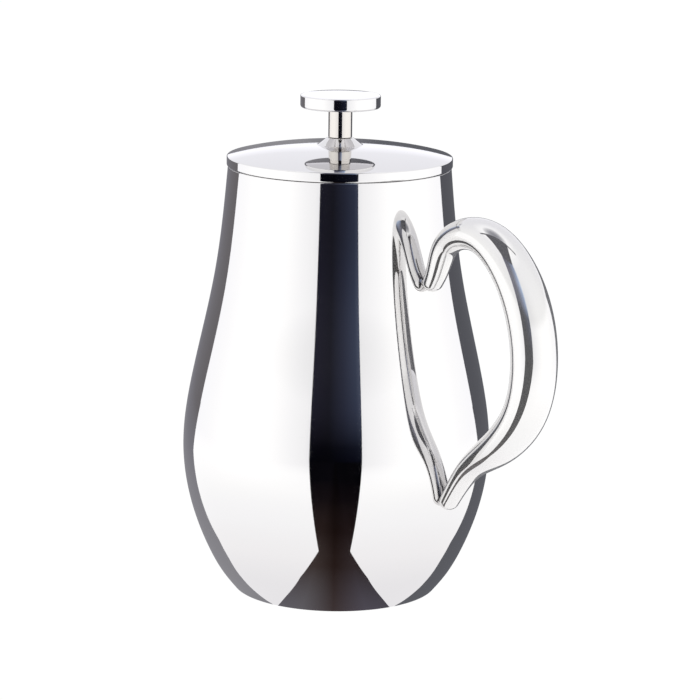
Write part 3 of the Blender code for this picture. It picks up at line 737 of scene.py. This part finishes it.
dome = [(r, dome_height(r))
        for r in np.linspace(lid_radius - DOME_START, NECK_FOOT, DOME_POINTS)]
lid_line = rounded([(lid_radius - LID_HEM, cover_low.z), (lid_radius, cover_low.z, HEM_FILLET),
                    (lid_radius, edge_top, RIM_ROUNDING), *dome[:-1],
                    (NECK_FOOT, dome_height(NECK_FOOT), NECK_FILLET), (NECK_RADIUS, cover_high.z)])
piece("lid_cover", spun(wall_outline(lid_line, LID_WALL), SHELL_STEPS), mirror_steel,
      "lid", "polished_steel", "lid_cover")

# ---- Lid insert, strainer skirt and neck sleeve ---------------------------------------
# The pan that closes the lid underneath, clinched behind the folded edge; the ring spot
# welded to it, with strainer slots for the lip; and the tube that lines the neck.
pan_low, pan_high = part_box("lid_insert")
skirt_low, skirt_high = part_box("lid_skirt")
sleeve_low, sleeve_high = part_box("neck_sleeve")
bush_low, bush_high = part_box("guide_bush")
PAN_WALL = 0.0006
PAN_CORNER = 0.0015
PAN_BEND = 0.0008
SKIRT_WALL = 0.0006
EASED_EDGE = 0.0002
GAP = 0.0003
SLEEVE_BORE = 0.0049
SLEEVE_RADIUS = 0.0054
FLANGE_HEIGHT = 0.0008
SLOT_COUNT = 9
SLOT_WIDTH = 0.0020
SLOT_HEIGHT = 0.0060
SLOT_PITCH = math.radians(6)
SLOT_PLACE = 0.4
SLOT_SIDES = 20
PUNCH_LENGTH = 0.004
SMALL_STEPS = 64

pan_radius = skirt_high.x - SKIRT_WALL - GAP
pan_top = pan_high.z - PAN_WALL
pan = rounded([(SLEEVE_RADIUS + GAP, pan_low.z), (pan_radius, pan_low.z, PAN_CORNER),
               (pan_radius, pan_top, PAN_BEND), (pan_high.x, pan_top)])
piece("lid_insert", spun(wall_outline(pan, PAN_WALL)), satin_steel,
      "lid", "polished_steel", "lid_insert")

skirt_inner = skirt_high.x - SKIRT_WALL
ring = rounded([(skirt_inner, skirt_low.z, EASED_EDGE), (skirt_high.x, skirt_low.z, EASED_EDGE),
                (skirt_high.x, skirt_high.z), (skirt_inner, skirt_high.z)], steps=3)
skirt = piece("lid_skirt", spun(ring), satin_steel, "lid", "polished_steel", "lid_skirt")

# Each slot is punched by a round bar that is drawn out to an upright slot's shape.
slots = bmesh.new()
slot_z = skirt_low.z + (skirt_high.z - skirt_low.z) * SLOT_PLACE
for k in range(SLOT_COUNT):
    made = bmesh.ops.create_cone(slots, cap_ends=True, segments=SLOT_SIDES, radius1=SLOT_WIDTH / 2,
                                 radius2=SLOT_WIDTH / 2, depth=PUNCH_LENGTH)["verts"]
    for way in (1, -1):
        for vert in made:
            if vert.co.x * way > 0:
                vert.co.x += way * (SLOT_HEIGHT - SLOT_WIDTH) / 2
    angle = math.pi + (k - (SLOT_COUNT - 1) / 2) * SLOT_PITCH
    bmesh.ops.rotate(slots, verts=made, matrix=Matrix.Rotation(math.pi / 2, 3, "Y"))
    bmesh.ops.translate(slots, verts=made, vec=(skirt_high.x, 0, slot_z))
    bmesh.ops.rotate(slots, verts=made, matrix=Matrix.Rotation(angle, 3, "Z"))
carve(skirt, slots)

flange_top = sleeve_low.z + FLANGE_HEIGHT
sleeve = rounded([(SLEEVE_BORE, sleeve_low.z), (sleeve_high.x, sleeve_low.z, EASED_EDGE),
                  (sleeve_high.x, flange_top), (SLEEVE_RADIUS, flange_top),
                  (SLEEVE_RADIUS, sleeve_high.z), (SLEEVE_BORE, sleeve_high.z)], steps=3)
piece("neck_sleeve", spun(sleeve, SMALL_STEPS), satin_steel, "lid", "polished_steel", "neck_sleeve")

# ---- Guide bush and clip --------------------------------------------------------------
# The nylon bush that the rod slides in hangs in the sleeve by its top flange, and a
# spring clip in its groove keeps it there. Both turn with the plunger.
clip_low, clip_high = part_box("bush_clip")
BUSH_BORE = 0.0033
BUSH_RADIUS = 0.0046
BUSH_EDGE = 0.0003
CLIP_BITE = 0.0006
CLIP_OPENING = math.radians(40)
CLIP_EDGE = 0.00015
CLIP_STEPS = 60
CLOUD_MM = 3.0
CLOUD_SHADE = 0.9
GRAIN_DEPTH = 0.00001


def plastic(name, code, roughness, grain_mm):
    """Moulded plastic with a faint cloud in its colour and a fine matt grain."""
    material = bpy.data.materials.new(name)
    material.use_nodes = True
    tree = material.node_tree
    shader = tree.nodes["Principled BSDF"]
    place = add_node(tree, "ShaderNodeTexCoord")
    cloud = add_node(tree, "ShaderNodeTexNoise", {
        "Vector": place.outputs["Object"], "Scale": mm(CLOUD_MM), "Detail": 2.0})
    base = linear(code)
    dark = tuple(c * CLOUD_SHADE for c in base[:3]) + (1.0,)
    shade = add_node(tree, "ShaderNodeMix", {"Factor": cloud.outputs["Fac"], "A": dark, "B": base},
                     data_type="RGBA")
    tree.links.new(shade.outputs["Result"], shader.inputs["Base Color"])
    grain = add_node(tree, "ShaderNodeTexNoise", {
        "Vector": place.outputs["Object"], "Scale": mm(grain_mm), "Detail": 2.0})
    bump = add_node(tree, "ShaderNodeBump", {
        "Height": grain.outputs["Fac"], "Distance": GRAIN_DEPTH})
    tree.links.new(bump.outputs["Normal"], shader.inputs["Normal"])
    shader.inputs["Roughness"].default_value = roughness
    return material


# Natural nylon: milky, off-white, slightly waxy.
natural_nylon = plastic("natural_nylon", "dbd7cd", roughness=0.42, grain_mm=0.25)

groove_radius = BUSH_RADIUS - CLIP_BITE
groove_low = clip_low.z - GAP
groove_high = clip_high.z + GAP
flange_low = sleeve_high.z + GAP
bush = rounded([(BUSH_BORE, bush_low.z, BUSH_EDGE), (BUSH_RADIUS, bush_low.z, BUSH_EDGE),
                (BUSH_RADIUS, groove_low), (groove_radius, groove_low),
                (groove_radius, groove_high), (BUSH_RADIUS, groove_high),
                (BUSH_RADIUS, flange_low), (bush_high.x, flange_low),
                (bush_high.x, bush_high.z), (BUSH_BORE, bush_high.z, EASED_EDGE)], steps=3)
piece("guide_bush", spun(bush, SMALL_STEPS), natural_nylon, "bush", "nylon", "guide_bush")

clip_inner = groove_radius + GAP
clip_corners = ((clip_inner, clip_low.z), (clip_high.x, clip_low.z),
                (clip_high.x, clip_high.z), (clip_inner, clip_high.z))
clip = spun(rounded([(*corner, CLIP_EDGE) for corner in clip_corners], steps=2),
            CLIP_STEPS, 2 * math.pi - CLIP_OPENING)
bmesh.ops.rotate(clip, verts=clip.verts,
                 matrix=Matrix.Rotation(math.pi + CLIP_OPENING / 2, 3, "Z"))
# Drawn stainless wire and spring strip: bright, with faint draw lines.
wire_steel = steel("drawn_stainless_wire", "c9c8c6", roughness=0.14, spread=0.12,
                   line_mm=0.3)
piece("bush_clip", clip, wire_steel, "bush", "steel_wire", "bush_clip")

# ---- Knob and stem --------------------------------------------------------------------
# A disc turned from bar with its edges eased, screwed on the rod's end, and the sleeve
# that spaces it from the neck. The disc is buffed to a mirror, the sleeve left as drawn.
knob_low, knob_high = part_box("knob")
stem_low, stem_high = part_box("knob_stem")
ROD_BORE = 0.0033
KNOB_SOCKET = 0.0040
KNOB_CROWN = 0.0002
KNOB_FILLET = 0.0012
KNOB_TOP_FILLET = 0.0006
KNOB_STEPS = 128
CROWN_SHARES = (0.9, 0.8, 0.7, 0.6, 0.45, 0.3)
STEM_EDGE = 0.00015
STEM_STEPS = 80

socket_top = knob_low.z + KNOB_SOCKET
crown = [(knob_high.x * q, knob_high.z - KNOB_CROWN * q ** 4) for q in CROWN_SHARES]
knob = rounded([(ROD_BORE, knob_low.z), (knob_high.x, knob_low.z, KNOB_FILLET),
                (knob_high.x, knob_high.z - KNOB_CROWN, KNOB_TOP_FILLET), *crown,
                (0.0, knob_high.z), (0.0, socket_top), (ROD_BORE, socket_top)], steps=8)
piece("knob", spun(knob, KNOB_STEPS), mirror_steel, "plunger", "polished_steel", "knob")
stem = rounded([(ROD_BORE, stem_low.z), (stem_high.x, stem_low.z, STEM_EDGE),
                (stem_high.x, stem_high.z, STEM_EDGE), (ROD_BORE, stem_high.z)], steps=3)
# Drawn stainless tube: a softer, warmer shine than the buffed parts.
drawn_steel = steel("drawn_stainless_tube", "dedad5", roughness=0.05, spread=0.05,
                    line_mm=0.3)
piece("knob_stem", spun(stem, STEM_STEPS), drawn_steel, "plunger", "polished_steel", "knob_stem")

# ---- Rod and collar -------------------------------------------------------------------
# Ground stainless rod, reduced and threaded below the collar that the filter stack
# is clamped against.
rod_low, rod_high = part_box("plunger_rod")
collar_low, collar_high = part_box("rod_collar")
THREAD_RADIUS = 0.0024
THREAD_PITCH = 0.0008
THREAD_CUT = 0.00025
THREAD_START = 0.0003
COLLAR_EDGE = 0.0003
COLLAR_TOP_FILLET = 0.0010

# Centreless-ground rod: bright, with fine rings from the wheel.
ground_steel = steel("ground_stainless_rod", "dcdad6", roughness=0.06, spread=0.06,
                     line_mm=0.25)

thread_top = collar_low.z - GAP
turns = int((thread_top - rod_low.z) / THREAD_PITCH)
thread = []
for k in range(turns):
    z = rod_low.z + THREAD_START + k * THREAD_PITCH
    thread += [(THREAD_RADIUS, z), (THREAD_RADIUS - THREAD_CUT, z + THREAD_PITCH / 2)]
rod = [(0.0, rod_low.z), (THREAD_RADIUS - THREAD_CUT, rod_low.z), *thread,
       (THREAD_RADIUS, thread_top), (rod_high.x, thread_top), (rod_high.x, rod_high.z),
       (0.0, rod_high.z)]
piece("plunger_rod", spun(rod, SMALL_STEPS), ground_steel,
      "plunger", "polished_steel", "plunger_rod")
collar = rounded([(ROD_BORE, collar_low.z), (collar_high.x, collar_low.z, COLLAR_EDGE),
                  (collar_high.x, collar_high.z, COLLAR_TOP_FILLET),
                  (ROD_BORE, collar_high.z)], steps=4)
piece("rod_collar", spun(collar, SMALL_STEPS), ground_steel,
      "plunger", "polished_steel", "rod_collar")

# ---- Filter plates --------------------------------------------------------------------
# Two pierced discs stamped from sheet: the upper one carries the coil spring round its
# stepped edge, the lower one's turned-down edge stiffens it.
upper_low, upper_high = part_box("spring_plate")
lower_low, lower_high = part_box("cross_plate")
PLATE_WALL = 0.0008
PLATE_STEPS = 128
SPRING_STEP = 0.0016
STEP_SHARE = 0.9
STEP_SLOPE = 0.002
STEP_FILLET = 0.001
PLATE_EDGE_FILLET = 0.0015
THREAD_BORE = 0.0027
# Each ring of holes is their count, the ring's radius, and the radius of a hole.
UPPER_HOLES = ((8, 0.0310, 0.0055), (6, 0.0180, 0.0042))
LOWER_HOLES = ((8, 0.0345, 0.0060), (6, 0.0190, 0.0050))

# Stamped sheet, tumbled bright: soft reflections.
tumbled_steel = steel("tumbled_stainless_sheet", "d2d0cc", roughness=0.16, spread=0.14,
                      line_mm=0.5, wave=0.00002)


def pierce(plate, rings, low, high):
    """Stamps rings of round holes through a plate."""
    holes = [(radius * math.cos(2 * math.pi * k / count),
              radius * math.sin(2 * math.pi * k / count), hole)
             for count, radius, hole in rings for k in range(count)]
    drill(plate, holes, low - DRILL_PAST, high + DRILL_PAST)


step_at = upper_high.x * STEP_SHARE
upper = rounded([(THREAD_BORE, upper_low.z), (step_at, upper_low.z, STEP_FILLET),
                 (step_at + STEP_SLOPE, upper_low.z + SPRING_STEP, STEP_FILLET),
                 (upper_high.x, upper_low.z + SPRING_STEP)], steps=4)
upper_plate = piece("spring_plate", spun(wall_outline(upper, PLATE_WALL), PLATE_STEPS),
                    tumbled_steel, "plunger", "polished_steel", "spring_plate")
pierce(upper_plate, UPPER_HOLES, upper_low.z, upper_high.z)
lower = rounded([(lower_high.x, lower_low.z), (lower_high.x, lower_high.z, PLATE_EDGE_FILLET),
                 (THREAD_BORE, lower_high.z)], steps=5)
lower_plate = piece("cross_plate", spun(wall_outline(lower, PLATE_WALL), PLATE_STEPS),
                    tumbled_steel, "plunger", "polished_steel", "cross_plate")
pierce(lower_plate, LOWER_HOLES, lower_low.z, lower_high.z)

# ---- Edge spring ----------------------------------------------------------------------
# One long coil of thin spring wire, bent round into a ring on the upper plate's edge. It
# presses the screen's edge on the liner and wipes it clean.
spring_low, spring_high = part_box("edge_spring")
SPRING_PITCH = 0.0016
SPRING_WIRE = 0.00035
COIL_POINTS = 12
WIRE_MERGE = 1e-7
coil_half = (spring_high.z - spring_low.z) / 2
coil_ring = spring_high.x - coil_half
coil_z = (spring_high.z + spring_low.z) / 2
coil_turns = round(2 * math.pi * coil_ring / SPRING_PITCH)


def coil_point(k):
    """Point number k of the wire's middle, on its way round the ring."""
    around = 2 * math.pi * k / (coil_turns * COIL_POINTS)
    curl = 2 * math.pi * k / COIL_POINTS
    reach = coil_ring + (coil_half - SPRING_WIRE) * math.cos(curl)
    return Vector((reach * math.cos(around), reach * math.sin(around),
                   coil_z + (coil_half - SPRING_WIRE) * math.sin(curl)))


def wire_curve(name, paths, radius, resolution, loop):
    """Mesh of round wires along paths, from a bevelled curve."""
    curve = bpy.data.curves.new(name, "CURVE")
    curve.dimensions = "3D"
    curve.bevel_depth = radius
    curve.bevel_resolution = resolution
    curve.use_fill_caps = not loop
    for points in paths:
        spline = curve.splines.new("POLY")
        spline.points.add(len(points) - 1)
        spline.use_cyclic_u = loop
        for target, point in zip(spline.points, points):
            target.co = (*point, 1.0)
    maker = bpy.data.objects.new(name, curve)
    bpy.context.scene.collection.objects.link(maker)
    bpy.context.view_layer.update()
    drawn = maker.evaluated_get(bpy.context.evaluated_depsgraph_get())
    bm = bmesh.new()
    bm.from_mesh(bpy.data.meshes.new_from_object(drawn))
    bpy.data.objects.remove(maker)
    bmesh.ops.remove_doubles(bm, verts=bm.verts, dist=WIRE_MERGE)
    bmesh.ops.recalc_face_normals(bm, faces=bm.faces)
    return bm


coil = [coil_point(k) for k in range(coil_turns * COIL_POINTS)]
piece("edge_spring", wire_curve("edge_spring", [coil], SPRING_WIRE, resolution=1, loop=True),
      wire_steel, "plunger", "steel_wire", "edge_spring")

# ---- Mesh screen ----------------------------------------------------------------------
# Plain-woven stainless wire cloth, cut to a disc. Real cloth has a wire every 0.25 mm;
# here it is one every 1.5 mm, so that the weave can be seen.
screen_low, screen_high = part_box("mesh_screen")
WEAVE_PITCH = 0.0015
WEAVE_MARGIN = 0.0008
WIRE_END_ROOM = 0.0002
WEAVE_ROOM = 0.95
HUB_ROOM = 0.003
screen_radius = screen_high.x
screen_z = (screen_low.z + screen_high.z) / 2
weave_wire = (screen_high.z - screen_low.z) / 4
wires = []
rows = int((screen_radius - WEAVE_MARGIN) / WEAVE_PITCH)
for direction in (0, 1):
    for row in range(-rows, rows + 1):
        offset = row * WEAVE_PITCH
        reach = math.sqrt((screen_radius - WIRE_END_ROOM) ** 2 - offset ** 2)
        count = int(reach / WEAVE_PITCH)
        path = []
        for k in range(-count, count + 1):
            rise = weave_wire * (1 if (row + k + direction) % 2 else -1)
            along = k * WEAVE_PITCH
            path.append((along, offset, screen_z + rise) if direction == 0
                        else (offset, along, screen_z + rise))
        if abs(offset) > HUB_ROOM and len(path) > 1:
            wires.append(path)
piece("mesh_screen", wire_curve("mesh_screen", wires, weave_wire * WEAVE_ROOM,
                                resolution=0, loop=False),
      wire_steel, "plunger", "steel_wire", "mesh_screen")

# ---- Hub nut --------------------------------------------------------------------------
# Closed round nut turned from bar, which clamps screen and plates against the collar. It
# is ground bright like the rod.
nut_low, nut_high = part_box("hub_nut")
NUT_ROUNDING = 0.0020
NUT_EDGE = 0.0003
NUT_FLOOR = 0.0012
nut = rounded([(0.0, nut_low.z), (nut_high.x, nut_low.z, NUT_ROUNDING),
               (nut_high.x, nut_high.z, NUT_EDGE), (THREAD_BORE, nut_high.z),
               (THREAD_BORE, nut_low.z + NUT_FLOOR), (0.0, nut_low.z + NUT_FLOOR)], steps=5)
piece("hub_nut", spun(nut, SMALL_STEPS), ground_steel, "plunger", "polished_steel", "hub_nut")
